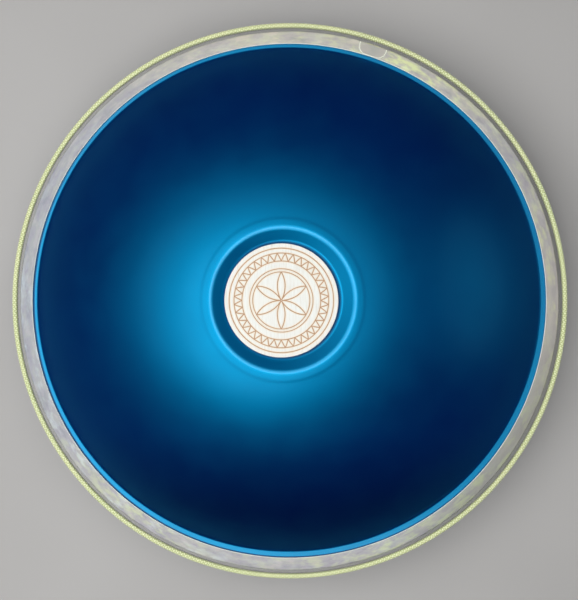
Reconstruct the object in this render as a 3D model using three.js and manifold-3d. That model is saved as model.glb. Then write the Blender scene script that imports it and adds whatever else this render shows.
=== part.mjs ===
// Steel tongue pan: two pressed steel domes bonded flange to flange, with a clear
// edge trim and a braided rope round the rim, and a wooden disc in a dish in the crown
// of the plain shell. It lies on the flat of its playing side. Millimetres, +Z up,
// with the origin at the middle of that flat.

import * as THREE from 'three';
import { mergeVertices } from 'three/addons/utils/BufferGeometryUtils.js';
import Module from 'manifold-3d';

// Fineness of the round stretches
const roundSteps = 56;
const domeSteps = 5;
const bendStepAngle = THREE.MathUtils.degToRad(30);

// Pressed steel shells, measured on their outer skin
const sheetThickness = 1.8;
const domeRadius = 354;
const footRadius = 230.3;
const footBend = 3;
const flangeWidth = 14.6;
const playingFlatRadius = 40;

// Stamped dish in the crown of the plain shell, from its crease in to its flat floor
const creaseBend = 3;
const creaseRun = 1.7;
const creaseRise = 0.39;
const lipRun = 7.6;
const lipRise = 1.45;
const lipBend = 10;
const lipSteps = 4;
const dishDepth = 4.8;
const dishSlope = THREE.MathUtils.degToRad(24.5);
const dishFootBend = 2;
const dishFootSteps = 2;

// Wooden disc on the floor of the dish, and the adhesive pad under it
const discRadius = 48;
const discThickness = 3;
const discEdgeChamfer = 0.4;
const discClearance = 2.4;
const discShiftShares = { x: -0.5, y: -0.17 };
const padThickness = 0.5;
const padMargin = 4;

// Bead of adhesive between the two flanges
const seamThickness = 0.6;
const seamOuterMargin = 0.5;
const seamInnerMargin = 3.6;

// Tongues cut into the playing shell
const kerfWidth = 1.6;
const kerfEndRadius = 1.6;
const kerfEndSteps = 4;
const centreSideMargin = 8;
const centreEndMargin = 22;
const centreRootMargin = 10;
const centreRootShare = 0.9;
const ringRootMargin = 16;
const ringEndMargin = 48.8;
const ringRootGap = 12;
const ringRootShare = 0.62;
const ringTongueShares = [1, 0.97, 0.9, 0.83, 0.77, 0.8, 0.86, 0.93];
const tongueCornerShare = 0.48;
const playerAngle = THREE.MathUtils.degToRad(-90);

// Clear edge trim: a channel over the flanges, a web, and a cradle for the rope
const trimClearance = 0.3;
const trimLegReach = 11.5;
const trimLegThickness = 1.2;
const trimBackThickness = 1.3;
const trimCorner = 0.8;
const webReach = 2.4;
const webThickness = 1.2;
const cradleThickness = 0.8;
const cradleHalfAngle = THREE.MathUtils.degToRad(50);
const cradleSteps = 4;
const trimJointGap = 0.5;
const trimJointAngle = THREE.MathUtils.degToRad(71.1);
const cutOverrun = 2;

// Clear patch over the joint between the two ends of the trim
const patchWidth = 26.2;
const patchThickness = 0.5;
const patchCornerShare = 0.8;
const patchRimWidth = 0.8;
const patchRimRise = 0.4;

// Rope bonded into the cradle
const ropeDiameter = 5;
const ropeSides = 8;

// Heights of the flange stack, and radii and heights of the dish
const footDrop = Math.sqrt(domeRadius ** 2 - footRadius ** 2);
const playingFlangeZ = Math.sqrt(domeRadius ** 2 - playingFlatRadius ** 2) - footDrop;
const seamLowZ = playingFlangeZ + sheetThickness;
const seamTopZ = seamLowZ + seamThickness;
const plainFlangeZ = seamTopZ + sheetThickness;
const rimMiddleZ = (playingFlangeZ + plainFlangeZ) / 2;
const playingCentreZ = playingFlangeZ + footDrop;
const plainCentreZ = plainFlangeZ - footDrop;
const dishFloorRadius = discRadius + discClearance;
const lipRadius = dishFloorRadius + dishDepth / Math.tan(dishSlope);
const shoulderRadius = lipRadius + lipRun;
const creaseRadius = shoulderRadius + creaseRun;
const creaseZ = plainCentreZ + Math.sqrt(domeRadius ** 2 - creaseRadius ** 2);
const shoulderZ = creaseZ + creaseRise;
const lipZ = shoulderZ + lipRise;
const dishFloorZ = lipZ - dishDepth;

// Sizes of the tongues, along the dome from its middle
const centreTongueEnd = playingFlatRadius + centreEndMargin;
const centreTongueRoot = playingFlatRadius + centreRootMargin;
const centreTongueWidth = 2 * (playingFlatRadius + centreSideMargin);
const ringRootArc = centreTongueEnd + ringRootMargin;
const ringEndArc = domeRadius * Math.asin(footRadius / domeRadius) - ringEndMargin;
const longestTongue = ringEndArc - ringRootArc;
const ringRootRadius = domeRadius * Math.sin(ringRootArc / domeRadius);
const ringRootPitch = 2 * ringRootRadius * Math.sin(Math.PI / ringTongueShares.length);
const widestTongue = (ringRootPitch - ringRootGap) / ringRootShare;
const tongueHalfDiagonal = Math.hypot(longestTongue, widestTongue) / 2;
const tongueSag = domeRadius - Math.sqrt(domeRadius ** 2 - tongueHalfDiagonal ** 2);
const kerfReach = tongueSag + sheetThickness + cutOverrun;

// Radii and heights of the trim and the rope
const flangeRadius = footRadius + flangeWidth;
const slotBackRadius = flangeRadius + trimClearance;
const slotHalf = (plainFlangeZ - playingFlangeZ) / 2 + trimClearance;
const trimOuterRadius = slotBackRadius + trimBackThickness;
const trimInnerRadius = trimOuterRadius - trimLegReach;
const trimTopZ = rimMiddleZ + slotHalf + trimLegThickness;
const trimLowZ = rimMiddleZ - slotHalf - trimLegThickness;
const ropeRadius = ropeDiameter / 2;
const cradleInner = ropeRadius + trimClearance;
const cradleOuter = cradleInner + cradleThickness;
const ropeRingRadius = trimOuterRadius + webReach + cradleOuter;

// Looks
const bluePaint = { color: 0x0a6fae, roughness: 0.34, metalness: 0.6 };
const birch = { color: 0xefe6d2, roughness: 0.65, metalness: 0 };
const adhesive = { color: 0xb9b7a8, roughness: 0.7, metalness: 0 };
const clearTrim = { color: 0xb9bbae, roughness: 0.3, metalness: 0 };
const clearPatch = { color: 0xdfe0cc, roughness: 0.25, metalness: 0 };
const paleRope = { color: 0xd4dba2, roughness: 0.85, metalness: 0 };

const wasm = await Module();
wasm.setup();

/** Closed solid for joining and cutting, without the flat triangles that lie on the axis. */
function toSolid(geometry) {
  const bare = geometry.clone();
  bare.deleteAttribute('normal');
  bare.deleteAttribute('uv');
  const merged = mergeVertices(bare);
  const corners = merged.index.array;
  const kept = [];
  for (let first = 0; first < corners.length; first += 3) {
    const [a, b, c] = corners.slice(first, first + 3);
    if (a !== b && b !== c && c !== a) {
      kept.push(a, b, c);
    }
  }
  const vertProperties = new Float32Array(merged.attributes.position.array);
  const triVerts = new Uint32Array(kept);
  return new wasm.Manifold(new wasm.Mesh({ numProp: 3, vertProperties, triVerts }));
}

/** three.js geometry from a joined or cut solid. */
function toGeometry(solid) {
  const { vertProperties, triVerts } = solid.getMesh();
  const geometry = new THREE.BufferGeometry();
  geometry.setAttribute('position', new THREE.BufferAttribute(vertProperties, 3));
  geometry.setIndex(new THREE.BufferAttribute(triVerts, 1));
  geometry.computeVertexNormals();
  return geometry;
}

/** Named mesh with its own material. */
function piece(name, geometry, look) {
  const mesh = new THREE.Mesh(geometry, new THREE.MeshStandardMaterial(look));
  mesh.name = name;
  return mesh;
}

/** Point of an outline; a bend rounds the corner there, in at least so many steps. */
function corner(x, y, bend = 0, leastSteps = 1) {
  return { at: new THREE.Vector2(x, y), bend, leastSteps };
}

/** Open path through corners, with an arc at each one that has a bend. */
function bentPath(corners) {
  const path = [];
  corners.forEach(({ at, bend, leastSteps }, index) => {
    if (!bend) {
      path.push(at);
      return;
    }
    const arriving = at.clone().sub(corners[index - 1].at).normalize();
    const leaving = corners[index + 1].at.clone().sub(at).normalize();
    const turn = Math.atan2(arriving.cross(leaving), arriving.dot(leaving));
    const setback = bend * Math.tan(Math.abs(turn) / 2);
    const start = at.clone().addScaledVector(arriving, -setback);
    const side = new THREE.Vector2(-arriving.y, arriving.x);
    const centre = start.clone().addScaledVector(side, bend * Math.sign(turn));
    const steps = Math.max(leastSteps, Math.round(Math.abs(turn) / bendStepAngle));
    for (let step = 0; step <= steps; step += 1) {
      path.push(start.clone().rotateAround(centre, (turn * step) / steps));
    }
  });
  return path;
}

/** The same path moved to its left by a distance, or to its right by a negative one. */
function offsetPath(path, distance) {
  return path.map((point, index) => {
    const before = path[index - 1];
    const after = path[index + 1];
    const arriving = point.clone().sub(before ?? point).normalize();
    const leaving = (after ?? point).clone().sub(point).normalize();
    const along = arriving.clone().add(leaving).normalize();
    const spread = before && after ? along.dot(leaving) : 1;
    const left = new THREE.Vector2(-along.y, along.x);
    return point.clone().addScaledVector(left, distance / spread);
  });
}

/** Closed outline of a sheet that lies to the left of a skin, or to its right. */
function sheetOutline(skin, thickness) {
  return [...skin, ...offsetPath(skin, thickness).reverse()];
}

/** Solid turned about Z from an outline of (radius, height) points. */
function turned(outline) {
  const points = THREE.ShapeUtils.area(outline) > 0 ? [...outline] : [...outline].reverse();
  const startsAndEndsOnAxis = points[0].x === 0 && points.at(-1).x === 0;
  if (!startsAndEndsOnAxis) {
    points.push(points[0].clone());
  }
  return new THREE.LatheGeometry(points, roundSteps).rotateX(Math.PI / 2);
}

/** Flat outline raised to a plate between two heights. */
function raised(outline, lowZ, topZ) {
  const options = { depth: topZ - lowZ, bevelEnabled: false };
  return new THREE.ExtrudeGeometry(new THREE.Shape(outline), options).translate(0, 0, lowZ);
}

/** Corners along a dome's outer skin, between its foot and a smaller radius. */
function domeCorners(centreZ, endRadius, facing) {
  const footAngle = Math.asin(footRadius / domeRadius);
  const endAngle = Math.asin(endRadius / domeRadius);
  const corners = [];
  for (let step = 1; step < domeSteps; step += 1) {
    const angle = THREE.MathUtils.lerp(footAngle, endAngle, step / domeSteps);
    const height = facing * domeRadius * Math.cos(angle);
    corners.push(corner(domeRadius * Math.sin(angle), centreZ + height));
  }
  return corners;
}

/** Plain shell, with the dish that the wooden disc lies in. */
function plainShell() {
  const skin = bentPath([
    corner(flangeRadius, plainFlangeZ),
    corner(footRadius, plainFlangeZ, footBend),
    ...domeCorners(plainCentreZ, creaseRadius, 1),
    corner(creaseRadius, creaseZ, creaseBend),
    corner(shoulderRadius, shoulderZ, creaseBend),
    corner(lipRadius, lipZ, lipBend, lipSteps),
    corner(dishFloorRadius, dishFloorZ, dishFootBend, dishFootSteps),
    corner(0, dishFloorZ),
  ]);
  return turned(sheetOutline(skin, sheetThickness));
}

/** Ribbon of a kerf: a strip along a path, with a round relief hole at each end. */
function kerfOutline(path) {
  const half = kerfWidth / 2;
  const back = Math.sqrt(kerfEndRadius ** 2 - half ** 2);
  const opening = Math.asin(half / kerfEndRadius);
  const trimmed = path.map((point) => point.clone());
  const last = trimmed.length - 1;
  const startWay = path[0].clone().sub(path[1]).normalize();
  const endWay = path[last].clone().sub(path[last - 1]).normalize();
  trimmed[0].addScaledVector(startWay, -back);
  trimmed[last].addScaledVector(endWay, -back);
  const reliefHole = (centre, way) => {
    const arc = [];
    for (let step = 1; step < kerfEndSteps; step += 1) {
      const sweep = THREE.MathUtils.lerp(Math.PI - opening, opening - Math.PI, step / kerfEndSteps);
      const spoke = way.clone().rotateAround(new THREE.Vector2(), sweep);
      arc.push(centre.clone().addScaledVector(spoke, kerfEndRadius));
    }
    return arc;
  };
  return [
    ...offsetPath(trimmed, half),
    ...reliefHole(path[last], endWay),
    ...offsetPath(trimmed, -half).reverse(),
    ...reliefHole(path[0], startWay),
  ];
}

/** Cutter for one tongue, laid flat with its free end towards +X. */
function tongueCutter(length, width, rootShare) {
  const rootHalf = (width * rootShare) / 2;
  const flare = Math.atan2(width / 2 - rootHalf, length);
  const endCorner = (width * tongueCornerShare) / Math.tan((Math.PI / 2 + flare) / 2);
  const path = bentPath([
    corner(-length / 2, rootHalf),
    corner(length / 2, width / 2, endCorner),
    corner(length / 2, -width / 2, endCorner),
    corner(-length / 2, -rootHalf),
  ]);
  return raised(kerfOutline(path), -kerfReach, kerfReach);
}

/** Playing shell, with one tongue on its flat and a ring of tongues round it. */
function playingShell() {
  const skin = bentPath([
    corner(flangeRadius, playingFlangeZ),
    corner(footRadius, playingFlangeZ, footBend),
    ...domeCorners(playingCentreZ, playingFlatRadius, -1),
    corner(playingFlatRadius, 0),
    corner(0, 0),
  ]);
  let shell = toSolid(turned(sheetOutline(skin, -sheetThickness)));

  const centreLength = centreTongueEnd + centreTongueRoot;
  const centreCutter = tongueCutter(centreLength, centreTongueWidth, centreRootShare);
  centreCutter.translate((centreTongueEnd - centreTongueRoot) / 2, 0, 0).rotateZ(playerAngle);
  shell = shell.subtract(toSolid(centreCutter));

  const tilt = (ringRootArc + ringEndArc) / 2 / domeRadius;
  const ringRadius = domeRadius * Math.sin(tilt);
  const ringZ = playingCentreZ - domeRadius * Math.cos(tilt);
  ringTongueShares.forEach((share, index) => {
    const turn = playerAngle + (index * 2 * Math.PI) / ringTongueShares.length;
    const cutter = tongueCutter(longestTongue * share, widestTongue * share, ringRootShare);
    cutter.rotateY(-tilt).translate(ringRadius, 0, ringZ).rotateZ(turn);
    shell = shell.subtract(toSolid(cutter));
  });
  return toGeometry(shell);
}

/** Adhesive that fills the seam between the two flanges. */
function flangeAdhesive() {
  const innerRadius = footRadius + seamInnerMargin;
  const outerRadius = flangeRadius - seamOuterMargin;
  return turned([
    new THREE.Vector2(innerRadius, seamLowZ),
    new THREE.Vector2(outerRadius, seamLowZ),
    new THREE.Vector2(outerRadius, seamTopZ),
    new THREE.Vector2(innerRadius, seamTopZ),
  ]);
}

/** Points of an arc round the rope's centre line, between two angles from straight out. */
function arcRoundRope(radius, fromAngle, toAngle, steps) {
  const arc = [];
  for (let step = 0; step <= steps; step += 1) {
    const angle = THREE.MathUtils.lerp(fromAngle, toAngle, step / steps);
    const out = ropeRingRadius + radius * Math.cos(angle);
    arc.push(new THREE.Vector2(out, rimMiddleZ + radius * Math.sin(angle)));
  }
  return arc;
}

/** Clear trim: a channel, web and cradle in one section, cut through at its joint. */
function edgeTrim() {
  const webHalf = webThickness / 2;
  const webAngle = Math.asin(webHalf / cradleOuter);
  const topEnd = Math.PI - cradleHalfAngle;
  const lowEnd = Math.PI + cradleHalfAngle;
  const outline = [
    new THREE.Vector2(slotBackRadius, rimMiddleZ + slotHalf),
    new THREE.Vector2(trimInnerRadius, rimMiddleZ + slotHalf),
    new THREE.Vector2(trimInnerRadius, trimTopZ),
    new THREE.Vector2(trimOuterRadius - trimCorner, trimTopZ),
    new THREE.Vector2(trimOuterRadius, trimTopZ - trimCorner),
    new THREE.Vector2(trimOuterRadius, rimMiddleZ + webHalf),
    ...arcRoundRope(cradleOuter, Math.PI - webAngle, topEnd, cradleSteps / 2),
    ...arcRoundRope(cradleInner, topEnd, lowEnd, cradleSteps),
    ...arcRoundRope(cradleOuter, lowEnd, Math.PI + webAngle, cradleSteps / 2),
    new THREE.Vector2(trimOuterRadius, rimMiddleZ - webHalf),
    new THREE.Vector2(trimOuterRadius, trimLowZ + trimCorner),
    new THREE.Vector2(trimOuterRadius - trimCorner, trimLowZ),
    new THREE.Vector2(trimInnerRadius, trimLowZ),
    new THREE.Vector2(trimInnerRadius, rimMiddleZ - slotHalf),
    new THREE.Vector2(slotBackRadius, rimMiddleZ - slotHalf),
  ];
  const reach = ropeRingRadius - trimInnerRadius + 2 * cutOverrun;
  const height = trimTopZ - trimLowZ + 2 * cutOverrun;
  const saw = new THREE.BoxGeometry(reach, trimJointGap, height);
  saw.translate((ropeRingRadius + trimInnerRadius) / 2, 0, rimMiddleZ).rotateZ(trimJointAngle);
  return toGeometry(toSolid(turned(outline)).subtract(toSolid(saw)));
}

/** Clear patch: a thin plate with a raised rim on its sides and rounded end. */
function jointPatch() {
  const half = patchWidth / 2;
  const outer = Math.sqrt((trimOuterRadius - trimCorner) ** 2 - half ** 2);
  const endCorner = (outer - trimInnerRadius) * patchCornerShare;
  const edge = bentPath([
    corner(-half, outer),
    corner(-half, trimInnerRadius, endCorner),
    corner(half, trimInnerRadius, endCorner),
    corner(half, outer),
  ]);
  const plate = toSolid(raised(edge, trimTopZ, trimTopZ + patchThickness));
  const rimTopZ = trimTopZ + patchThickness + patchRimRise;
  const rim = toSolid(raised(sheetOutline(edge, patchRimWidth), trimTopZ, rimTopZ));
  return toGeometry(plate.add(rim));
}

/** Wooden disc with its edges broken, standing on the pad. */
function woodenDisc() {
  const lowZ = dishFloorZ + padThickness;
  const topZ = lowZ + discThickness;
  return turned([
    new THREE.Vector2(0, lowZ),
    new THREE.Vector2(discRadius - discEdgeChamfer, lowZ),
    new THREE.Vector2(discRadius, lowZ + discEdgeChamfer),
    new THREE.Vector2(discRadius, topZ - discEdgeChamfer),
    new THREE.Vector2(discRadius - discEdgeChamfer, topZ),
    new THREE.Vector2(0, topZ),
  ]);
}

/** Adhesive pad between the disc and the floor of the dish. */
function discPad() {
  return turned([
    new THREE.Vector2(0, dishFloorZ),
    new THREE.Vector2(discRadius - padMargin, dishFloorZ),
    new THREE.Vector2(discRadius - padMargin, dishFloorZ + padThickness),
    new THREE.Vector2(0, dishFloorZ + padThickness),
  ]);
}

/** Rope laid in the cradle as one closed ring. */
function rimRope() {
  return turned(arcRoundRope(ropeRadius, 0, 2 * Math.PI, ropeSides).slice(1));
}

const shells = new THREE.Group();
shells.add(piece('plain_shell', plainShell(), bluePaint));
shells.add(piece('playing_shell', playingShell(), bluePaint));
shells.add(piece('flange_adhesive', flangeAdhesive(), adhesive));

const centre = new THREE.Group();
centre.add(piece('wooden_disc', woodenDisc(), birch));
centre.add(piece('disc_adhesive_pad', discPad(), adhesive));
centre.position.set(discClearance * discShiftShares.x, discClearance * discShiftShares.y, 0);

const edge = new THREE.Group();
edge.add(piece('edge_trim', edgeTrim(), clearTrim));
edge.add(piece('rim_rope', rimRope(), paleRope));
const patch = piece('trim_joint_patch', jointPatch(), clearPatch);
patch.rotation.z = trimJointAngle - Math.PI / 2;
edge.add(patch);

const steelPan = new THREE.Group();
steelPan.add(shells, centre, edge);

export default steelPan;
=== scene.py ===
"""Looks of the steel tongue pan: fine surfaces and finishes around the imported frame.

Everything is in metres, in the row frame: +Z up, with the origin at the middle of the
flat that the pan lies on. Outlines are complex numbers, radius + height * 1j.
"""

import cmath
import math

import bmesh
import bpy
import numpy as np
from mathutils import Matrix, Vector


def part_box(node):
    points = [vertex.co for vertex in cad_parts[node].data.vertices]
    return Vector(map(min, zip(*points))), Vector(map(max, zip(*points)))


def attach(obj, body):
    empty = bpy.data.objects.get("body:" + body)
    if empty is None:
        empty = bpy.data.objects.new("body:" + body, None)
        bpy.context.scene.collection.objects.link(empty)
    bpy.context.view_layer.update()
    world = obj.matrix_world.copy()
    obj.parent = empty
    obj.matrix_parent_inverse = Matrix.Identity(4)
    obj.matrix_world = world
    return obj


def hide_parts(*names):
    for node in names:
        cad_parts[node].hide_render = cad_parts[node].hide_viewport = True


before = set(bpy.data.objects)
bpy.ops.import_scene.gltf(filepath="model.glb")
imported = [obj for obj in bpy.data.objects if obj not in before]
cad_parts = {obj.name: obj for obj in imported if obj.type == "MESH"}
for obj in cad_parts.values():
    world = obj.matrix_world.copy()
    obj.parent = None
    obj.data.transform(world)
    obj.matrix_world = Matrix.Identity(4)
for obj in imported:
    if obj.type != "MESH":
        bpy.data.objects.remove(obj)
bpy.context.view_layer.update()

MM = 0.001

# Fineness of the round stretches
ROUND_STEPS = 288
DOME_STEPS = 64
BEND_STEP = math.radians(6)
SHARP_ANGLE = math.radians(32)

# Pressed shells, measured on their outer skin
SHEET = 1.8 * MM
DOME_RADIUS = 354 * MM
FOOT_RADIUS = 230.3 * MM
FOOT_BEND = 3 * MM
FOOT_SHIFT_X = -0.45 * MM
FOOT_SHIFT_Y = 1.05 * MM
PLAYING_FLAT_RADIUS = 40 * MM

# Stamped dish in the crown, from its crease in to its flat floor
CREASE_BEND = 16 * MM
CREASE_RUN = 2.4 * MM
CREASE_RISE = 0.58 * MM
LIP_RUN = 6.9 * MM
LIP_RISE = 1.26 * MM
LIP_BEND = 9 * MM
DISH_DEPTH = 4.8 * MM
DISH_SLOPE = math.radians(24.5)
DISH_FOOT_BEND = 4 * MM
DISC_CLEARANCE = 2.4 * MM

# Tongues of the playing shell
KERF_WIDTH = 1.6 * MM
KERF_END_RADIUS = 1.6 * MM
KERF_END_STEPS = 20
CUTTER_REACH = 16 * MM
CENTRE_SIDE_MARGIN = 8 * MM
CENTRE_END_MARGIN = 22 * MM
CENTRE_ROOT_MARGIN = 10 * MM
CENTRE_ROOT_SHARE = 0.9
RING_ROOT_MARGIN = 16 * MM
RING_END_MARGIN = 48.8 * MM
RING_ROOT_GAP = 12 * MM
RING_ROOT_SHARE = 0.62
RING_TONGUE_SHARES = (1, 0.97, 0.9, 0.83, 0.77, 0.8, 0.86, 0.93)
TONGUE_CORNER_SHARE = 0.48
PLAYER_ANGLE = math.radians(-90)

# Adhesive
SEAM_INNER_MARGIN = 3.6 * MM
PASTE_EDGE_BEND = 0.15 * MM

# Trim, patch and rope
TRIM_CLEARANCE = 0.3 * MM
TRIM_LEG = 1.2 * MM
TRIM_TIP_SHARE = 0.42
TRIM_BACK = 1.3 * MM
TRIM_REACH = 11.5 * MM
TRIM_CORNER = 0.8 * MM
WEB_THICKNESS = 1.2 * MM
CRADLE_THICKNESS = 0.8 * MM
CRADLE_HALF_ANGLE = math.radians(50)
TRIM_JOINT_GAP = 0.5 * MM
TRIM_JOINT_ANGLE = math.radians(71.1)
PATCH_WIDTH = 26.2 * MM
PATCH_THICKNESS = 0.5 * MM
PATCH_CORNER_SHARE = 0.8
PATCH_RIM_WIDTH = 0.8 * MM
PATCH_RIM_RISE = 0.4 * MM
PATCH_RIM_STEPS = 8
PATCH_SPACING = 1 * MM

# Disc and its engraving, whose shares are of the disc's radius
DISC_CHAMFER = 0.5 * MM
DISC_STEPS = 900
DISC_RINGS = 190
ENGRAVED_DEPTH = 0.2 * MM
ENGRAVED_HALF_WIDTH = 0.46 * MM
HAZE_HALF_WIDTH = 1.4 * MM
ROSETTE_SHARE = 0.5
PLAIN_RING_SHARES = (0.5, 0.555, 0.915)
BORDER_SHARES = (0.69, 0.83)
BORDER_TEETH = 36
BORDER_SLANT_SHARE = 0.86

# Braid of the rope
STRANDS_EACH_WAY = 4
BRAID_TURNS = 100
STRAND_RISE = 0.5 * MM
WEAVE_RISE = 0.26 * MM
BRAID_STEPS_AROUND = 32
BRAID_STEPS_PER_TURN = 48

# Finish of the crown's paint, from the edges that it follows
DISC_FILM_FULL = 0.9 * MM
DISC_FILM_END = 3.4 * MM
TRIM_FILM_START = 1.5 * MM
TRIM_FILM_FULL = 0.9 * MM
TRIM_FILM_SHIFT_X = 0.3 * MM
TRIM_FILM_SHIFT_Y = -0.4 * MM
CREST_POLISH_FULL = 0.5 * MM
CREST_POLISH_END = 1.8 * MM
LIP_POLISH_START = 0.2 * MM
LIP_POLISH_FULL = 1.5 * MM
FOOT_FADE = 1.5 * MM

# Inner edge of the trim: a painted highlight along it, and painted shade on its face underneath
EDGE_HIGHLIGHT_FULL = 0.42 * MM
EDGE_HIGHLIGHT_END = 0.7 * MM
FACE_SHADE_WIDTH = 0.5 * MM
FACE_SHADE_START = 0.4 * MM
FACE_SHADE_FULL = 0.7 * MM

# Depths of the surface textures
PAINT_WAVES = 0.35 * MM
PAINT_SPUN_RINGS = 0.05 * MM
PAINT_PEEL = 0.02 * MM
WOOD_GRAIN = 0.03 * MM
MILKY_RIPPLE = 0.05 * MM
CLEAR_RIPPLE = 0.1 * MM
ROPE_FIBRE = 0.15 * MM
PASTE_CLOTS = 0.2 * MM

# Heights and radii that follow from the frame
plain_low, plain_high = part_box("plain_shell")
playing_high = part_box("playing_shell")[1]
trim_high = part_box("edge_trim")[1]
rope_low, rope_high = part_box("rim_rope")
disc_low, disc_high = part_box("wooden_disc")
pad_low, pad_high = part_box("disc_adhesive_pad")
bead_low, bead_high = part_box("flange_adhesive")

flange_radius = plain_high.x
foot_drop = math.sqrt(DOME_RADIUS ** 2 - FOOT_RADIUS ** 2)
plain_flange_z = plain_low.z + SHEET
playing_flange_z = playing_high.z - SHEET
rim_middle_z = (plain_flange_z + playing_flange_z) / 2
plain_centre_z = plain_flange_z - foot_drop
playing_centre_z = playing_flange_z + foot_drop
disc_radius = (disc_high.x - disc_low.x) / 2
disc_centre = (disc_low + disc_high) / 2
rope_radius = (rope_high.z - rope_low.z) / 2
rope_ring_radius = rope_high.x - rope_radius
trim_outer = flange_radius + TRIM_CLEARANCE + TRIM_BACK
trim_inner = trim_outer - TRIM_REACH

floor_radius = disc_radius + DISC_CLEARANCE
floor_z = pad_low.z
lip_radius = floor_radius + DISH_DEPTH / math.tan(DISH_SLOPE)
shoulder_radius = lip_radius + LIP_RUN
crease_radius = shoulder_radius + CREASE_RUN
crease_z = plain_centre_z + math.sqrt(DOME_RADIUS ** 2 - crease_radius ** 2)
shoulder_z = crease_z + CREASE_RISE
lip_z = shoulder_z + LIP_RISE


def bent_path(corners, step_angle=BEND_STEP):
    """Open path through (point, bend) corners, with an arc at each one that has a bend."""
    path = []
    for index, (at, bend) in enumerate(corners):
        if not bend:
            path.append(at)
            continue
        arriving = at - corners[index - 1][0]
        leaving = corners[index + 1][0] - at
        arriving /= abs(arriving)
        leaving /= abs(leaving)
        turn = cmath.phase(leaving / arriving)
        start = at - arriving * bend * math.tan(abs(turn) / 2)
        centre = start + 1j * arriving * math.copysign(bend, turn)
        steps = max(2, round(abs(turn) / step_angle))
        for step in range(steps + 1):
            path.append(centre + (start - centre) * cmath.exp(1j * turn * step / steps))
    return path


def offset_path(path, distance):
    """The same path moved to its left by a distance, or to its right by a negative one."""
    moved = []
    for index, at in enumerate(path):
        arriving = at - path[index - 1] if index else path[1] - at
        leaving = path[index + 1] - at if index + 1 < len(path) else arriving
        arriving /= abs(arriving)
        leaving /= abs(leaving)
        along = arriving + leaving
        along /= abs(along)
        spread = (along * leaving.conjugate()).real
        moved.append(at + 1j * along * distance / spread)
    return moved


def dome_path(centre_z, start_radius, end_radius, facing):
    """Corners on a dome's outer skin, strictly between two radii."""
    start = math.asin(start_radius / DOME_RADIUS)
    end = math.asin(end_radius / DOME_RADIUS)
    angles = [start + (end - start) * step / DOME_STEPS for step in range(1, DOME_STEPS)]
    return [(complex(DOME_RADIUS * math.sin(angle),
                     centre_z + facing * DOME_RADIUS * math.cos(angle)), 0) for angle in angles]


def mesh_object(name, vertices, faces, materials=()):
    """Object with a smooth-shaded mesh whose sharp edges stay sharp."""
    mesh = bpy.data.meshes.new(name)
    mesh.from_pydata([tuple(v) for v in vertices], [], [tuple(f) for f in faces])
    mesh.validate()
    mesh.polygons.foreach_set("use_smooth", [True] * len(mesh.polygons))
    mesh.set_sharp_from_angle(angle=SHARP_ANGLE)
    for material in materials:
        mesh.materials.append(material)
    mesh.update()
    made = bpy.data.objects.new(name, mesh)
    bpy.context.scene.collection.objects.link(made)
    return made


def lathe_data(outline, start=0.0, sweep=2 * math.pi, steps=ROUND_STEPS):
    """Vertices and outward faces of a closed outline turned about Z."""
    area = sum((a.conjugate() * b).imag for a, b in zip(outline, outline[1:] + outline[:1]))
    points = list(outline) if area > 0 else list(reversed(outline))
    whole = math.isclose(sweep, 2 * math.pi)
    spokes = steps if whole else steps + 1
    turns = start + sweep * np.arange(spokes) / steps
    vertices = []
    rings = []
    for at in points:
        first = len(vertices)
        if math.isclose(at.real, 0, abs_tol=1e-9):
            vertices.append((0.0, 0.0, at.imag))
            rings.append([first] * spokes)
        else:
            vertices += [(at.real * math.cos(t), at.real * math.sin(t), at.imag) for t in turns]
            rings.append(list(range(first, first + spokes)))
    faces = []
    for ring, after in zip(rings, rings[1:] + rings[:1]):
        for spoke in range(steps):
            turned = (spoke + 1) % spokes
            face = [ring[spoke], ring[turned], after[turned], after[spoke]]
            kept = [v for place, v in enumerate(face) if v != face[place - 1]]
            if len(set(kept)) > 2:
                faces.append(kept)
    if not whole:
        faces.append([ring[0] for ring in rings])
        faces.append([ring[-1] for ring in reversed(rings)])
    return vertices, faces


def lathe(name, outline, material, **ways):
    """Piece turned about Z from a closed outline."""
    vertices, faces = lathe_data(outline, **ways)
    return mesh_object(name, vertices, faces, [material])


def sheet_outline(skin, thickness):
    """Closed outline of a sheet that lies to the left of a skin, or to its right."""
    return list(skin) + list(reversed(offset_path(skin, thickness)))


# Materials


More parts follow.
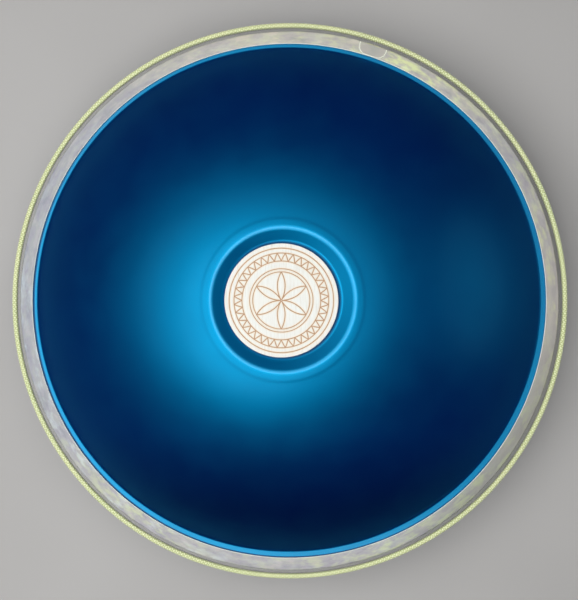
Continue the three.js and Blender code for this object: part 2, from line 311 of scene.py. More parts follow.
class Nodes:
    """A material's node tree, built by short calls."""

    def __init__(self, name):
        self.material = bpy.data.materials.new(name)
        self.material.use_nodes = True
        self.tree = self.material.node_tree
        self.tree.nodes.clear()
        self.output = self.tree.nodes.new("ShaderNodeOutputMaterial")
        self.shader = self.tree.nodes.new("ShaderNodeBsdfPrincipled")
        self.link(self.shader.outputs[0], self.output.inputs["Surface"])

    def link(self, source, target):
        self.tree.links.new(source, target)

    def add(self, kind, settings=None, **values):
        """A node with its settings, and its sockets set or linked by name."""
        node = self.tree.nodes.new(kind)
        for key, value in (settings or {}).items():
            setattr(node, key, value)
        for key, value in values.items():
            self.set(node.inputs[key.replace("_", " ")], value)
        return node

    def set(self, socket, value):
        if isinstance(value, bpy.types.NodeSocket):
            self.link(value, socket)
        else:
            socket.default_value = value

    def principled(self, **values):
        for key, value in values.items():
            self.set(self.shader.inputs[key.replace("_", " ")], value)

    def place(self):
        """The point on the surface, in the piece's own coordinates."""
        return self.add("ShaderNodeTexCoord").outputs["Object"]

    def noise(self, scale, detail=2.0, roughness=0.5, vector=None, distortion=0.0):
        node = self.add("ShaderNodeTexNoise", Scale=scale, Detail=detail,
                        Roughness=roughness, Distortion=distortion)
        self.link(vector or self.place(), node.inputs["Vector"])
        return node.outputs["Fac"]

    def stretched(self, scale):
        """The surface point with each axis scaled."""
        node = self.add("ShaderNodeMapping", Scale=scale)
        self.link(self.place(), node.inputs["Vector"])
        return node.outputs["Vector"]

    def rim_place(self, shift):
        """The surface point for clouds that run along the rim: its distance from the axis
        counts threefold, as a height, and it is moved so that no two noises agree."""
        level = self.add("ShaderNodeMapping", Scale=(1, 1, 0))
        self.link(self.place(), level.inputs["Vector"])
        way = self.add("ShaderNodeVectorMath", {"operation": "NORMALIZE"})
        self.link(level.outputs["Vector"], way.inputs[0])
        ring = self.add("ShaderNodeVectorMath", {"operation": "SCALE"}, Scale=flange_radius)
        self.link(way.outputs["Vector"], ring.inputs[0])
        height = self.add("ShaderNodeCombineXYZ", Z=self.math("MULTIPLY", self.radius(), 3))
        raised = self.add("ShaderNodeVectorMath", {"operation": "ADD"})
        self.link(ring.outputs["Vector"], raised.inputs[0])
        self.link(height.outputs["Vector"], raised.inputs[1])
        moved = self.add("ShaderNodeMapping", Location=shift)
        self.link(raised.outputs["Vector"], moved.inputs["Vector"])
        return moved.outputs["Vector"]

    def radius(self, x=0.0, y=0.0):
        """Distance of the surface point from an upright axis."""
        level = self.add("ShaderNodeMapping", Location=(-x, -y, 0), Scale=(1, 1, 0))
        self.link(self.place(), level.inputs["Vector"])
        length = self.add("ShaderNodeVectorMath", {"operation": "LENGTH"})
        self.link(level.outputs["Vector"], length.inputs[0])
        return length.outputs["Value"]

    def along(self, way):
        """How far the surface point lies along a direction."""
        dot = self.add("ShaderNodeVectorMath", {"operation": "DOT_PRODUCT"})
        self.link(self.place(), dot.inputs[0])
        dot.inputs[1].default_value = way
        return dot.outputs["Value"]

    def side(self, way, begin_share, full_share, low=0, high=1):
        """Ramp towards one side of the pan, between two shares of the flange's radius."""
        return self.range(self.along(way), low, high, begin_share * flange_radius,
                          full_share * flange_radius)

    def math(self, operation, first, second):
        node = self.add("ShaderNodeMath", {"operation": operation})
        self.set(node.inputs[0], first)
        self.set(node.inputs[1], second)
        return node.outputs["Value"]

    def ramp(self, factor, stops):
        """Colour ramp through (position, colour) stops."""
        node = self.add("ShaderNodeValToRGB")
        elements = node.color_ramp.elements
        while len(elements) > 1:
            elements.remove(elements[-1])
        elements[0].position = stops[0][0]
        elements[0].color = (*stops[0][1], 1)
        for position, colour in stops[1:]:
            elements.new(position).color = (*colour, 1)
        self.link(factor, node.inputs["Fac"])
        return node.outputs["Color"]

    def range(self, factor, low, high, from_low=0.0, from_high=1.0):
        node = self.add("ShaderNodeMapRange")
        self.set(node.inputs["Value"], factor)
        node.inputs["From Min"].default_value = from_low
        node.inputs["From Max"].default_value = from_high
        node.inputs["To Min"].default_value = low
        node.inputs["To Max"].default_value = high
        return node.outputs["Result"]

    def mix(self, factor, first, second, blend="MIX"):
        node = self.add("ShaderNodeMix", {"data_type": "RGBA", "blend_type": blend})
        self.set(node.inputs["Factor"], factor)
        colours = [s for s in node.inputs if s.type == "RGBA"]
        for socket, value in zip(colours, (first, second)):
            is_colour = not isinstance(value, bpy.types.NodeSocket)
            self.set(socket, (*value, 1) if is_colour else value)
        return next(s for s in node.outputs if s.type == "RGBA")

    def bump(self, height, distance, strength=1.0, normal=None):
        node = self.add("ShaderNodeBump", Height=height, Distance=distance, Strength=strength)
        if normal:
            self.link(normal, node.inputs["Normal"])
        return node.outputs["Normal"]

    def attribute(self, name):
        return self.add("ShaderNodeAttribute", {"attribute_name": name}).outputs["Fac"]


def crown_finish(n, roughness, coat, colour):
    """The paint's finish as it is on the crown: with a dull film in the corners beside the
    disc and the trim, polished on the crest and lip, and glossier on the dome's edge near
    the player, where painted shade also darkens its colour."""
    disc_corner = n.range(n.radius(disc_centre.x, disc_centre.y), 1, 0,
                          disc_radius + DISC_FILM_FULL, disc_radius + DISC_FILM_END)
    trim_corner = n.range(n.radius(TRIM_FILM_SHIFT_X, TRIM_FILM_SHIFT_Y), 0, 1,
                          trim_inner - TRIM_FILM_START, trim_inner - TRIM_FILM_FULL)
    player_side = n.side((-0.5, -0.87, 0), -0.204, 0.408, 0.2, 1)
    film = n.math("MAXIMUM", disc_corner, n.math("MULTIPLY", trim_corner, player_side))
    from_crest = n.math("ABSOLUTE", n.math("SUBTRACT", n.radius(), lip_radius), 0)
    crest = n.range(from_crest, 0.3, 0, CREST_POLISH_FULL, CREST_POLISH_END)
    from_foot = n.radius(FOOT_SHIFT_X, FOOT_SHIFT_Y)
    lip = n.range(from_foot, 0, 0.22, FOOT_RADIUS + LIP_POLISH_START, FOOT_RADIUS + LIP_POLISH_FULL)
    dome = n.range(from_foot, 1, 0, FOOT_RADIUS - FOOT_FADE, FOOT_RADIUS)
    # On the dome's edge near the player the paint is glossier, and its colour is darkened there as
    # painted shade.
    near_player_gloss_and_shade = n.math("MULTIPLY", n.side((0, -1, 0), 0.47, 0.755), dome)
    roughness = n.math("ADD", roughness, n.math("MULTIPLY", film, 0.5))
    roughness = n.math("SUBTRACT", roughness, n.math("MULTIPLY", near_player_gloss_and_shade, 0.085))
    coat = n.math("ADD", n.math("ADD", crest, lip), coat)
    colour = n.mix(near_player_gloss_and_shade, colour, (1, 1, 0.6), "MULTIPLY")
    return roughness, coat, colour


def paint_material(name, crown=False):
    """Satin metallic blue lacquer with a faint orange peel."""
    n = Nodes(name)
    roughness = n.range(n.noise(40, detail=4), 0.36, 0.4, 0.3, 0.7)
    coat = 0.05
    drift = n.noise(9, detail=3)
    colour = n.mix(n.range(drift, 0, 1, 0.3, 0.7), (0.0005, 0.0015, 0.082), (0.0005, 0.002, 0.092))
    if crown:
        roughness, coat, colour = crown_finish(n, roughness, coat, colour)
    peel = n.noise(620, detail=1)
    waves = n.noise(26, detail=1)
    spun = n.noise(170, detail=2, vector=n.add("ShaderNodeCombineXYZ", X=n.radius()).outputs[0])
    normal = n.bump(waves, PAINT_WAVES, 0.5)
    normal = n.bump(spun, PAINT_SPUN_RINGS, 0.4, normal)
    normal = n.bump(peel, PAINT_PEEL, 0.5, normal)
    n.principled(Base_Color=colour, Metallic=0, Normal=normal, IOR=3.25,
                 Specular_Tint=(0.0002, 0.55, 1.0, 1.0), Coat_Weight=coat, Coat_Roughness=0.15,
                 Roughness=roughness)
    return n.material


def birch_material():
    """Pale birch face with fine grain, scorched grooves with a tan haze, and a burnt edge."""
    n = Nodes("birch")
    grain = n.noise(1, detail=6, roughness=0.6, vector=n.stretched((900, 55, 120)))
    cloud = n.noise(45, detail=3)
    wood = n.ramp(grain, [(0.3, (0.78, 0.76, 0.69)), (0.5, (0.87, 0.88, 0.84)),
                          (0.72, (0.91, 0.94, 0.92))])
    wood = n.mix(n.range(cloud, 0, 0.4, 0.35, 0.65), wood, (0.9, 0.88, 0.8))
    haze = n.mix(n.range(n.attribute("haze"), 0, 0.5), wood, (0.92, 0.74, 0.52))
    grooved = n.mix(n.attribute("burn"), haze, (0.46, 0.24, 0.1))
    colour = n.mix(n.attribute("side"), grooved, (0.07, 0.045, 0.03))
    n.principled(Base_Color=colour, Roughness=n.range(grain, 0.5, 0.66),
                 Normal=n.bump(grain, WOOD_GRAIN, 0.6))
    return n.material


def trim_material():
    """Milky plastic over the flange: grey with lilac, green and yellow clouds, with painted light
    and shade: paler where its inner edge catches the light, dark on the face under that edge,
    lighter on the top side and darker on the lower right side."""
    n = Nodes("trim_plastic")
    tint = n.noise(58, detail=5, roughness=0.6, vector=n.rim_place((0, 0, 0)))
    base = n.ramp(tint, [(0.36, (0.28, 0.28, 0.31)), (0.46, (0.35, 0.33, 0.37)),
                         (0.54, (0.37, 0.37, 0.36)), (0.62, (0.44, 0.41, 0.41))])
    yellow = n.range(n.noise(62, detail=5, roughness=0.6, vector=n.rim_place((3, 1, 2))),
                     0, 0.85, 0.47, 0.62)
    yellow_side = n.side((-0.87, 0.5, 0), 0, 0.653, 1, 0.12)
    patchy = n.range(n.noise(8, detail=2), 0.35, 1, 0.4, 0.6)
    yellow = n.math("MULTIPLY", yellow, n.math("MULTIPLY", yellow_side, patchy))
    colour = n.mix(yellow, base, (0.56, 0.62, 0.34))
    white = n.range(n.noise(42, detail=5, roughness=0.65, vector=n.rim_place((7, 5, 4))),
                    0, 0.7, 0.5, 0.66)
    white_side = n.side((-0.85, -0.53, 0), 0.572, 0.898, 0.25, 1)
    colour = n.mix(n.math("MULTIPLY", white, white_side), colour, (0.6, 0.68, 0.66))
    blue_side = n.side((-1, 0.1, 0), 0.612, 0.98)
    colour = n.mix(blue_side, colour, (0.87, 0.92, 0.99), "MULTIPLY")
    beige_side = n.side((0.97, -0.25, 0), 0.653, 0.98, 0, 0.55)
    colour = n.mix(beige_side, colour, (0.44, 0.39, 0.32))
    # Painted light: the band is made lighter on the top side, where more light falls.
    top_side_light = n.side((0.17, 0.985, 0), 0.653, 0.939)
    colour = n.mix(top_side_light, colour, (1.4, 1.38, 1.16), "MULTIPLY")
    # Painted shade: the band is made darker on the lower right side, away from the light.
    far_side_shade = n.side((0.8, -0.6, 0), 0.817, 0.98)
    colour = n.mix(far_side_shade, colour, (0.68, 0.73, 0.69), "MULTIPLY")
    # Painted highlight: the inner edge is paler, as where it catches the light.
    edge = n.range(n.radius(), 0.9, 0, trim_inner + EDGE_HIGHLIGHT_FULL, trim_inner + EDGE_HIGHLIGHT_END)
    colour = n.mix(edge, colour, (0.78, 0.83, 0.76))
    # Painted shade: the inner face of the edge, under its top, is darkened almost to black.
    face = n.range(n.radius(), 1, 0, trim_inner, trim_inner + FACE_SHADE_WIDTH)
    face_shade_height = n.range(n.along((0, 0, 1)), 1, 0, trim_high.z - FACE_SHADE_FULL,
                    trim_high.z - FACE_SHADE_START)
    colour = n.mix(n.math("MULTIPLY", face, face_shade_height), colour, (0.03, 0.06, 0.07))
    n.principled(Base_Color=colour, Roughness=n.range(tint, 0.28, 0.42),
                 Coat_Weight=0.3, Coat_Roughness=0.15,
                 Normal=n.bump(n.noise(300, detail=2), MILKY_RIPPLE, 0.4))
    return n.material


def clear_material():
    """Clear plastic of the web and cradle, tinted dark as painted shade over the gap between band
    and rope.
    """
    n = Nodes("trim_clear")
    haze = n.noise(60, detail=3)
    # The dark tint is painted shade for the gap that shows through the web.
    n.principled(Base_Color=n.ramp(haze, [(0.3, (0.2, 0.21, 0.17)), (0.7, (0.28, 0.29, 0.23))]),
                 Roughness=n.range(haze, 0.18, 0.3), Alpha=0.12,
                 Normal=n.bump(haze, CLEAR_RIPPLE, 0.5))
    return n.material


def patch_material():
    """Clear patch, paler on its raised rim as a painted highlight."""
    n = Nodes("patch_clear")
    rim = n.attribute("rim")
    haze = n.noise(70, detail=3)
    face = n.ramp(haze, [(0.35, (0.42, 0.42, 0.37)), (0.5, (0.48, 0.45, 0.4)),
                         (0.65, (0.5, 0.52, 0.4))])
    # The rim's pale colour is a painted highlight along the patch's edge.
    n.principled(Base_Color=n.mix(rim, face, (0.9, 0.92, 0.78)),
                 Roughness=n.range(haze, 0.22, 0.32), Coat_Weight=0.4, Coat_Roughness=0.12,
                 Normal=n.bump(haze, CLEAR_RIPPLE, 0.4))
    return n.material


def rope_material():
    """Pale yellow-green braid, darkened down between its strands as painted shade."""
    n = Nodes("braided_rope")
    height = n.attribute("lay")
    fibre = n.noise(1600, detail=2)
    drift = n.noise(30, detail=3)
    # The ramp's dark low end is painted shade in the hollows between the strands.
    colour = n.ramp(height, [(0.4, (0.2, 0.24, 0.08)), (0.62, (0.6, 0.66, 0.28)),
                             (0.8, (0.9, 1.0, 0.56)), (1.0, (0.95, 1.0, 0.72))])
    colour = n.mix(n.range(drift, 0, 0.3, 0.35, 0.65), colour, (0.92, 0.9, 0.54))
    colour = n.mix(n.range(fibre, 0, 0.2, 0.3, 0.7), colour, (0.64, 0.7, 0.32))
    n.principled(Base_Color=colour, Roughness=0.8, Sheen_Weight=0.3, Sheen_Roughness=0.5,
                 Normal=n.bump(fibre, ROPE_FIBRE, 0.7))
    return n.material


def adhesive_material():
    """Grey bonding paste."""
    n = Nodes("bonding_paste")
    cloud = n.noise(120, detail=4)
    n.principled(Base_Color=n.ramp(cloud, [(0.35, (0.4, 0.39, 0.34)), (0.65, (0.5, 0.49, 0.43))]),
                 Roughness=n.range(cloud, 0.6, 0.8), Normal=n.bump(cloud, PASTE_CLOTS, 0.6))
    return n.material


def floor_material():
    """Plain pale floor."""
    n = Nodes("pale_floor")
    cloud = n.noise(3, detail=2)
    n.principled(Base_Color=n.ramp(cloud, [(0.4, (0.5, 0.49, 0.48)), (0.6, (0.53, 0.52, 0.51))]),
                 Roughness=0.8)
    return n.material


# Pieces


def plain_shell(material):
    """Fine plain shell with the dish for the disc. The foot of its dome lies a little off the
    middle of the rim, which makes the lip beside the trim wider on the player's side."""
    skin = bent_path([
        (complex(flange_radius, plain_flange_z), 0),
        (complex(FOOT_RADIUS, plain_flange_z), FOOT_BEND),
        *dome_path(plain_centre_z, FOOT_RADIUS, crease_radius, 1),
        (complex(crease_radius, crease_z), CREASE_BEND),
        (complex(shoulder_radius, shoulder_z), CREASE_BEND),
        (complex(lip_radius, lip_z), LIP_BEND),
        (complex(floor_radius, floor_z), DISH_FOOT_BEND),
        (complex(0, floor_z), 0),
    ])
    shell = lathe("plain_shell_fine", sheet_outline(skin, SHEET), material)
    for vertex in shell.data.vertices:
        away = math.hypot(vertex.co.x, vertex.co.y)
        share = smooth_step(away, 0.7 * FOOT_RADIUS, FOOT_RADIUS)
        share *= 1 - smooth_step(away, trim_inner, flange_radius - SHEET)
        vertex.co.x += FOOT_SHIFT_X * share
        vertex.co.y += FOOT_SHIFT_Y * share
    return shell


def kerf_outline(path):
    """Ribbon of a kerf along a path, with a round relief hole at each end."""
    half = KERF_WIDTH / 2
    back = math.sqrt(KERF_END_RADIUS ** 2 - half ** 2)
    opening = math.asin(half / KERF_END_RADIUS)
    start_way = (path[0] - path[1]) / abs(path[0] - path[1])
    end_way = (path[-1] - path[-2]) / abs(path[-1] - path[-2])
    trimmed = [path[0] - start_way * back, *path[1:-1], path[-1] - end_way * back]

    def relief_hole(centre, way):
        sweep = math.pi - opening
        angles = [sweep * (1 - 2 * step / KERF_END_STEPS) for step in range(1, KERF_END_STEPS)]
        return [centre + way * KERF_END_RADIUS * cmath.exp(1j * angle) for angle in angles]

    return [*offset_path(trimmed, half), *relief_hole(path[-1], end_way),
            *reversed(offset_path(trimmed, -half)), *relief_hole(path[0], start_way)]


def tongue_cutter(length, width, root_share):
    """Vertices and faces of the cutter for one tongue, its free end towards +X."""
    root_half = width * root_share / 2
    flare = math.atan2(width / 2 - root_half, length)
    end_corner = width * TONGUE_CORNER_SHARE / math.tan((math.pi / 2 + flare) / 2)
    path = bent_path([
        (complex(-length / 2, root_half), 0),
        (complex(length / 2, width / 2), end_corner),
        (complex(length / 2, -width / 2), end_corner),
        (complex(-length / 2, -root_half), 0),
    ])
    outline = kerf_outline(path)
    count = len(outline)
    vertices = [Vector((p.real, p.imag, z)) for z in (-CUTTER_REACH, CUTTER_REACH) for p in outline]
    faces = [list(range(count))[::-1], list(range(count, 2 * count))]
    faces += [[i, (i + 1) % count, count + (i + 1) % count, count + i] for i in range(count)]
    return vertices, faces


def playing_shell(material):
    """Fine playing shell with its nine tongues cut through."""
    skin = bent_path([
        (complex(flange_radius, playing_flange_z), 0),
        (complex(FOOT_RADIUS, playing_flange_z), FOOT_BEND),
        *dome_path(playing_centre_z, FOOT_RADIUS, PLAYING_FLAT_RADIUS, -1),
        (complex(PLAYING_FLAT_RADIUS, 0), 0),
        (0j, 0),
    ])
    shell = lathe("playing_shell_fine", sheet_outline(skin, -SHEET), material)

    centre_end = PLAYING_FLAT_RADIUS + CENTRE_END_MARGIN
    centre_root = PLAYING_FLAT_RADIUS + CENTRE_ROOT_MARGIN
    centre_width = 2 * (PLAYING_FLAT_RADIUS + CENTRE_SIDE_MARGIN)
    root_arc = centre_end + RING_ROOT_MARGIN
    end_arc = DOME_RADIUS * math.asin(FOOT_RADIUS / DOME_RADIUS) - RING_END_MARGIN
    longest = end_arc - root_arc
    count = len(RING_TONGUE_SHARES)
    root_radius = DOME_RADIUS * math.sin(root_arc / DOME_RADIUS)
    root_pitch = 2 * root_radius * math.sin(math.pi / count)
    widest = (root_pitch - RING_ROOT_GAP) / RING_ROOT_SHARE
    tilt = (root_arc + end_arc) / 2 / DOME_RADIUS
    ring_place = Vector((DOME_RADIUS * math.sin(tilt), 0,
                         playing_centre_z - DOME_RADIUS * math.cos(tilt)))

    cutters = [(tongue_cutter(centre_end + centre_root, centre_width, CENTRE_ROOT_SHARE),
                Matrix.Rotation(PLAYER_ANGLE, 4, "Z")
                @ Matrix.Translation(((centre_end - centre_root) / 2, 0, 0)))]
    for index, share in enumerate(RING_TONGUE_SHARES):
        turn = PLAYER_ANGLE + index * 2 * math.pi / count
        cutters.append((
            tongue_cutter(longest * share, widest * share, RING_ROOT_SHARE),
            Matrix.Rotation(turn, 4, "Z") @ Matrix.Translation(ring_place)
            @ Matrix.Rotation(-tilt, 4, "Y")))
    vertices = []
    faces = []
    for (own_vertices, own_faces), place in cutters:
        first = len(vertices)
        vertices += [place @ v for v in own_vertices]
        faces += [[first + v for v in face] for face in own_faces]
    saw = mesh_object("tongue_saw", vertices, faces)
    face_out(saw)
    cut_away(shell, saw)
    return shell


def cut_away(piece, saw):
    """Cuts the saw out of the piece's mesh, and deletes the saw."""
    modifier = piece.modifiers.new("cut", "BOOLEAN")
    modifier.operation = "DIFFERENCE"
    modifier.solver = "EXACT"
    modifier.object = saw
    evaluated = piece.evaluated_get(bpy.context.evaluated_depsgraph_get())
    mesh = bpy.data.meshes.new_from_object(evaluated)
    piece.modifiers.remove(modifier)
    old = piece.data
    piece.data = mesh
    mesh.name = old.name
    bpy.data.meshes.remove(old)
    bpy.data.objects.remove(saw)
    mesh.polygons.foreach_set("use_smooth", [True] * len(mesh.polygons))
    mesh.set_sharp_from_angle(angle=SHARP_ANGLE)


def plain_ring(name, inner, outer, low_z, high_z, material):
    """Turned ring or disc with slightly rounded edges."""
    bend = min(PASTE_EDGE_BEND, (high_z - low_z) / 3)
    corners = [(complex(outer, low_z), bend), (complex(outer, high_z), bend)]
    if inner:
        corners = [(complex((inner + outer) / 2, low_z), 0), *corners,
                   (complex(inner, high_z), bend), (complex(inner, low_z), bend),
                   (complex((inner + outer) / 2, low_z), 0)]
        return lathe(name, bent_path(corners)[:-1], material)
    corners = [(complex(0, low_z), 0), *corners, (complex(0, high_z), 0)]
    return lathe(name, bent_path(corners), material)


def rope_arc(radius, start, end, steps=24):
    """Arc round the rope's centre line, between two angles from straight out."""
    centre = complex(rope_ring_radius, rim_middle_z)
    return [centre + radius * cmath.exp(1j * (start + (end - start) * step / steps))
            for step in range(steps + 1)]


def edge_trim(milky, clear):
    """Channel over the flanges in milky plastic, with a clear web and cradle."""
    outer = trim_outer
    slot_back = flange_radius + TRIM_CLEARANCE
    inner = trim_inner
    slot_half = (plain_flange_z - playing_flange_z) / 2 + TRIM_CLEARANCE
    high = rim_middle_z + slot_half + TRIM_LEG
    low = rim_middle_z - slot_half - TRIM_LEG
    round_off = TRIM_LEG * TRIM_TIP_SHARE
    web_half = WEB_THICKNESS / 2
    cradle_inner = rope_radius + TRIM_CLEARANCE
    cradle_outer = cradle_inner + CRADLE_THICKNESS
    web_angle = math.asin(web_half / cradle_outer)

    channel = bent_path([
        (complex(slot_back, rim_middle_z), 0),
        (complex(slot_back, rim_middle_z + slot_half), 0),
        (complex(inner, rim_middle_z + slot_half), round_off),
        (complex(inner, high), round_off),
        (complex(outer, high), TRIM_CORNER),
        (complex(outer, low), TRIM_CORNER),
        (complex(inner, low), round_off),
        (complex(inner, rim_middle_z - slot_half), round_off),
        (complex(slot_back, rim_middle_z - slot_half), 0),
    ])
    half_gap = TRIM_JOINT_GAP / 2 / outer
    ways = {"start": TRIM_JOINT_ANGLE + half_gap, "sweep": 2 * math.pi - 2 * half_gap}
    band = lathe("trim_channel", channel, milky, **ways)

    top_end = math.pi - CRADLE_HALF_ANGLE
    low_end = math.pi + CRADLE_HALF_ANGLE
    web = [complex(outer, rim_middle_z + web_half),
           *rope_arc(cradle_outer, math.pi - web_angle, top_end),
           *rope_arc(cradle_inner, top_end, low_end),
           *rope_arc(cradle_outer, low_end, math.pi + web_angle),
           complex(outer, rim_middle_z - web_half)]
    holder = lathe("trim_web", web, clear, **ways)
    return band, holder


def joint_patch(material):
    """Clear patch over the trim's joint: a thin plate with a raised rim on three sides."""
    half = PATCH_WIDTH / 2
    base_z = trim_high.z
    outer_y = math.sqrt((trim_outer - TRIM_CORNER) ** 2 - half ** 2)
    end_corner = (outer_y - trim_inner) * PATCH_CORNER_SHARE
    edge = bent_path([
        (complex(-half, outer_y), 0),
        (complex(-half, trim_inner), end_corner),
        (complex(half, trim_inner), end_corner),
        (complex(half, outer_y), 0),
    ], step_angle=math.radians(4))
    edge = refined(edge, PATCH_SPACING)

    # Stations from the edge inwards: inset, height, and how far the rim's painted highlight shows
    stations = [(0.0, 0.0, 0.6), (0.0, PATCH_THICKNESS * 0.9, 0.8)]
    for step in range(PATCH_RIM_STEPS + 1):
        angle = math.pi * step / PATCH_RIM_STEPS
        inset = PATCH_RIM_WIDTH * (1 - math.cos(angle)) / 2
        rise = PATCH_RIM_RISE * math.sin(angle) ** 0.8
        stations.append((inset, PATCH_THICKNESS + rise, 1.0))
    stations.append((PATCH_RIM_WIDTH * 1.6, PATCH_THICKNESS, 0.0))
    rows = []
    heights = []
    rims = []
    for inset, height, rim in stations:
        rows.append(offset_path(edge, inset) if inset else list(edge))
        heights.append(base_z + height)
        rims.append(rim)
    count = len(edge)
    vertices = []
    for row, z in zip(rows, heights):
        for p in row:
            vertices.append(Vector((p.real, p.imag, z)))
    for row in range(len(rows)):
        for end in (0, count - 1):
            vertices[row * count + end].y = outer_y
    faces = []
    for row in range(len(rows) - 1):
        for i in range(count - 1):
            a = row * count + i
            faces.append([a, a + 1, a + 1 + count, a + count])
    last = (len(rows) - 1) * count
    faces.append(list(range(last, last + count)))
    faces.append(list(range(count))[::-1])
    faces.append([row * count for row in range(len(rows))]
                 + [row * count + count - 1 for row in reversed(range(len(rows)))])
    turn = Matrix.Rotation(TRIM_JOINT_ANGLE - math.pi / 2, 4, "Z")
    made = mesh_object("joint_patch", [turn @ v for v in vertices], faces, [material])
    face_out(made)
    mark = made.data.attributes.new("rim", "FLOAT", "POINT")
    mark.data.foreach_set("value", [rim for rim in rims for _ in range(count)])
    return made


def refined(path, spacing):
    """The same path with points added on its long stretches."""
    finer = [path[0]]
    for before, after in zip(path, path[1:]):
        steps = max(1, math.ceil(abs(after - before) / spacing))
        finer += [before + (after - before) * step / steps for step in range(1, steps + 1)]
    return finer


def face_out(piece):
    """Turns every face of a closed mesh outwards."""
    shape = bmesh.new()
    shape.from_mesh(piece.data)
    bmesh.ops.recalc_face_normals(shape, faces=shape.faces)
    shape.to_mesh(piece.data)
    shape.free()
    piece.data.set_sharp_from_angle(angle=SHARP_ANGLE)


def smooth_step(value, low, high):
    """Smooth ramp from 0 at low to 1 at high."""
    share = np.clip((value - low) / (high - low), 0, 1)
    return share * share * (3 - 2 * share)


def groove(distance, half_width):
    """How deep a round-bottomed groove is, from 0 at its edge to 1 in its middle."""
    share = np.clip(np.abs(distance) / half_width, 0, 1)
    return np.sqrt(1 - share * share)


def ornament(x, y, radius, line):
    """Depth, 0 to 1, of the engraved ornament at points of the disc: a six-petal rosette
    drawn with compass arcs, a twin ring, and a border of small triangles."""
    away = np.hypot(x, y)
    depth = np.zeros_like(away)
    rosette = ROSETTE_SHARE * radius
    for petal in range(6):
        angle = petal * math.pi / 3 + math.pi / 6
        centre_x = rosette * math.cos(angle)
        centre_y = rosette * math.sin(angle)
        arc = groove(np.hypot(x - centre_x, y - centre_y) - rosette, line)
        depth = np.maximum(depth, arc * (away < rosette))
    for share in PLAIN_RING_SHARES + BORDER_SHARES:
        depth = np.maximum(depth, groove(away - share * radius, line))
    turn = np.arctan2(y, x) * BORDER_TEETH / (2 * math.pi)
    saw = np.abs(turn - np.round(turn)) * 2
    low, high = (share * radius for share in BORDER_SHARES)
    across = (away - low) / (high - low)
    inside = (across > 0) & (across < 1)
    from_slant = (saw - across) * math.pi * away / BORDER_TEETH * BORDER_SLANT_SHARE
    return np.maximum(depth, groove(from_slant, line) * inside)


def wooden_disc(material):
    """Birch disc with a softly rounded edge and an engraved ornament."""
    chamfer = DISC_CHAMFER
    steps = DISC_STEPS
    rings = DISC_RINGS
    turns = 2 * math.pi * np.arange(steps) / steps
    flat = disc_radius - chamfer
    radii = flat * (np.arange(1, rings + 1) / rings) ** 0.86
    grid_r, grid_t = np.meshgrid(radii, turns, indexing="ij")
    x = grid_r * np.cos(grid_t)
    y = grid_r * np.sin(grid_t)
    depth = ornament(x, y, disc_radius, ENGRAVED_HALF_WIDTH)
    haze = ornament(x, y, disc_radius, HAZE_HALF_WIDTH)
    z = disc_high.z - ENGRAVED_DEPTH * depth
    vertices = [(0.0, 0.0, disc_high.z)]
    vertices += list(zip(x.ravel(), y.ravel(), z.ravel()))
    marks = {"burn": [0.0, *depth.ravel()], "haze": [0.0, *haze.ravel()]}
    marks["side"] = [0.0] * len(vertices)
    edge = [(flat + chamfer * math.sin(a), disc_high.z - chamfer * (1 - math.cos(a)))
            for a in np.linspace(0, math.pi / 2, 6)[1:]]
    edge += [(flat + chamfer * math.cos(a), disc_low.z + chamfer * (1 - math.sin(a)))
             for a in np.linspace(0, math.pi / 2, 6)]
    for edge_radius, edge_z in edge:
        vertices += [(edge_radius * math.cos(t), edge_radius * math.sin(t), edge_z) for t in turns]
        is_side = edge_z < disc_high.z - chamfer * 0.6
        marks["side"] += [1.0 if is_side else 0.0] * steps
    vertices.append((0.0, 0.0, disc_low.z))
    marks["side"].append(1.0)
    faces = [[0, 1 + i, 1 + (i + 1) % steps] for i in range(steps)]
    rows = rings + len(edge)
    for row in range(rows - 1):
        first = 1 + row * steps
        for i in range(steps):
            after = (i + 1) % steps
            faces.append([first + i, first + steps + i, first + steps + after, first + after])
    last = 1 + (rows - 1) * steps
    bottom = len(vertices) - 1
    faces += [[last + (i + 1) % steps, last + i, bottom] for i in range(steps)]
    moved = [(vx + disc_centre.x, vy + disc_centre.y, vz) for vx, vy, vz in vertices]
    made = mesh_object("disc_engraved", moved, faces, [material])
    for name, values in marks.items():
        mark = made.data.attributes.new(name, "FLOAT", "POINT")
        mark.data.foreach_set("value", values + [0.0] * (len(moved) - len(values)))
    return made


def rope_ring(material):
    """Rope of eight braided strands, four each way, laid in the cradle as one ring."""
    around = BRAID_STEPS_AROUND
    along = BRAID_TURNS * BRAID_STEPS_PER_TURN
    phase = np.arange(around) / around
    travel = np.arange(along) / along
    way, p = np.meshgrid(travel, phase, indexing="ij")
    lay = way * BRAID_TURNS
    right = STRANDS_EACH_WAY * (p - lay)
    left = STRANDS_EACH_WAY * (p + lay)
    right_off = right - np.round(right)
    left_off = left - np.round(left)
    weave = WEAVE_RISE * np.cos(2 * math.pi * STRANDS_EACH_WAY * lay)
    over = STRAND_RISE * np.sqrt(1 - (2 * right_off) ** 2) + weave
    under = STRAND_RISE * np.sqrt(1 - (2 * left_off) ** 2) - weave
    height = np.maximum(over, under)
    section = rope_radius - STRAND_RISE - WEAVE_RISE + height
    angle = 2 * math.pi * p
    turn = 2 * math.pi * way
    ring = rope_ring_radius + section * np.cos(angle)
    x = ring * np.cos(turn)
    y = ring * np.sin(turn)
    z = rim_middle_z + section * np.sin(angle)
    vertices = np.stack([x, y, z], -1).reshape(-1, 3)
    faces = []
    for row in range(along):
        first = row * around
        after_row = ((row + 1) % along) * around
        for i in range(around):
            after = (i + 1) % around
            faces.append([first + i, after_row + i, after_row + after, first + after])
    made = mesh_object("rope_braided", vertices, faces, [material])
    mark = made.data.attributes.new("lay", "FLOAT", "POINT")
    mark.data.foreach_set("value", (height / (STRAND_RISE + WEAVE_RISE)).ravel())
    return made


# Assembly

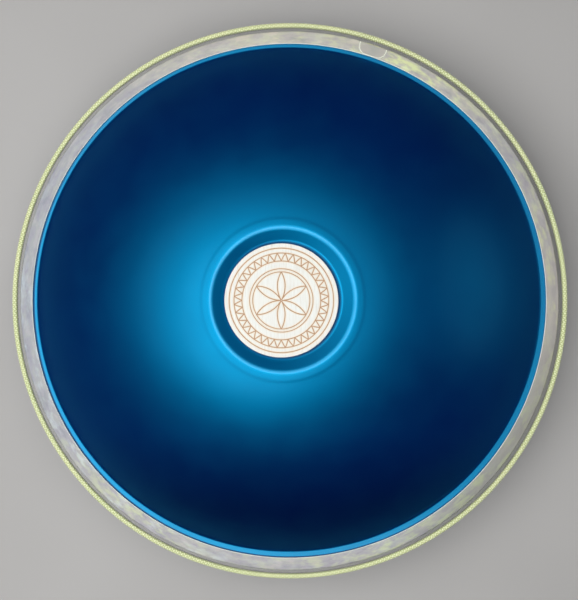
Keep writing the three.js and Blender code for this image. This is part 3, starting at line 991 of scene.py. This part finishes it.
paint = paint_material("blue_paint")
crown_paint = paint_material("blue_paint_crown", crown=True)
birch = birch_material()
milky = trim_material()
clear = clear_material()
patch_look = patch_material()
rope_look = rope_material()
paste = adhesive_material()


def dress(piece, node):
    """The piece is attached to the root body and stands in for a node, whose frame part is hidden.
    """
    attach(piece, "root")
    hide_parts(node)


dress(plain_shell(crown_paint), "plain_shell")
dress(playing_shell(paint), "playing_shell")
bead = plain_ring("flange_bead", FOOT_RADIUS + SEAM_INNER_MARGIN, bead_high.x,
                  bead_low.z, bead_high.z, paste)
dress(bead, "flange_adhesive")
pad = plain_ring("disc_pad", 0, (pad_high.x - pad_low.x) / 2, pad_low.z, pad_high.z, paste)
pad.data.transform(Matrix.Translation((disc_centre.x, disc_centre.y, 0)))
dress(pad, "disc_adhesive_pad")
dress(wooden_disc(birch), "wooden_disc")
for part in edge_trim(milky, clear):
    dress(part, "edge_trim")
dress(joint_patch(patch_look), "trim_joint_patch")
dress(rope_ring(rope_look), "rim_rope")


# Floor, light and camera


def floor():
    """Plain pale floor under the pan."""
    reach = 12.0
    corners = [(-reach, -reach, 0), (reach, -reach, 0), (reach, reach, 0), (-reach, reach, 0)]
    made = mesh_object("floor", corners, [[0, 1, 2, 3]], [floor_material()])


def softbox(name, place, aim, width, depth, power):
    """Soft round studio light that faces a point."""
    lamp = bpy.data.lights.new(name, "AREA")
    lamp.shape = "ELLIPSE"
    lamp.size = width
    lamp.size_y = depth
    lamp.energy = power
    made = bpy.data.objects.new(name, lamp)
    made.location = place
    made.rotation_euler = (Vector(aim) - Vector(place)).to_track_quat("-Z", "Y").to_euler()
    bpy.context.scene.collection.objects.link(made)


def room_light():
    """Even, dim light from all sides."""
    world = bpy.data.worlds.new("room")
    world.use_nodes = True
    tree = world.node_tree
    background = tree.nodes["Background"]
    background.inputs["Color"].default_value = (0.92, 0.95, 1, 1)
    direction = tree.nodes.new("ShaderNodeTexCoord")
    parts = tree.nodes.new("ShaderNodeSeparateXYZ")
    rise = tree.nodes.new("ShaderNodeMapRange")
    rise.interpolation_type = "SMOOTHERSTEP"
    rise.inputs["From Min"].default_value = 0.1
    rise.inputs["From Max"].default_value = 1.0
    rise.inputs["To Min"].default_value = 0.006
    rise.inputs["To Max"].default_value = 0.01
    tree.links.new(direction.outputs["Generated"], parts.inputs["Vector"])
    tree.links.new(parts.outputs["Z"], rise.inputs["Value"])
    tree.links.new(rise.outputs["Result"], background.inputs["Strength"])
    bpy.context.scene.world = world


def camera():
    """Camera about a metre over the rim, at the photograph's place and field of view."""
    frame_height_px = 600
    focal_px = 1036
    eye = Vector((41, -4.5, 1035)) * MM
    aim = Vector((1.97, 0.34, 85)) * MM
    data = bpy.data.cameras.new("camera")
    data.sensor_fit = "AUTO"
    data.sensor_width = 24
    data.lens = focal_px * data.sensor_width / frame_height_px
    data.clip_start = 0.05
    made = bpy.data.objects.new("camera", data)
    ahead = (aim - eye).normalized()
    right = ahead.cross(Vector((0, 1, 0))).normalized()
    up = right.cross(ahead)
    made.matrix_world = Matrix((
        (right.x, up.x, -ahead.x, eye.x),
        (right.y, up.y, -ahead.y, eye.y),
        (right.z, up.z, -ahead.z, eye.z),
        (0, 0, 0, 1),
    ))
    bpy.context.scene.collection.objects.link(made)
    bpy.context.scene.camera = made


# Soft lights: place and aim, width and depth in metres, power in watts
SOFTBOXES = {
    "core": ((-0.06, -0.09, 1.45), (-0.06, -0.09, 0), 0.33, 0.33, 0.95),
    "key": ((-0.36, -0.15, 1.5), (-0.36, -0.15, 0), 1.48, 1.48, 13.3),
    "wide": ((-0.5, 0.08, 1.55), (-0.5, 0.08, 0), 2.92, 2.2, 15.2),
    "side": ((1.6, 0.12, 0.85), (0, 0, 0.12), 1.3, 0.8, 1.35),
}

floor()
for box_name, box in SOFTBOXES.items():
    softbox(box_name, *box)
room_light()
camera()
bpy.context.scene.view_settings.view_transform = "Standard"
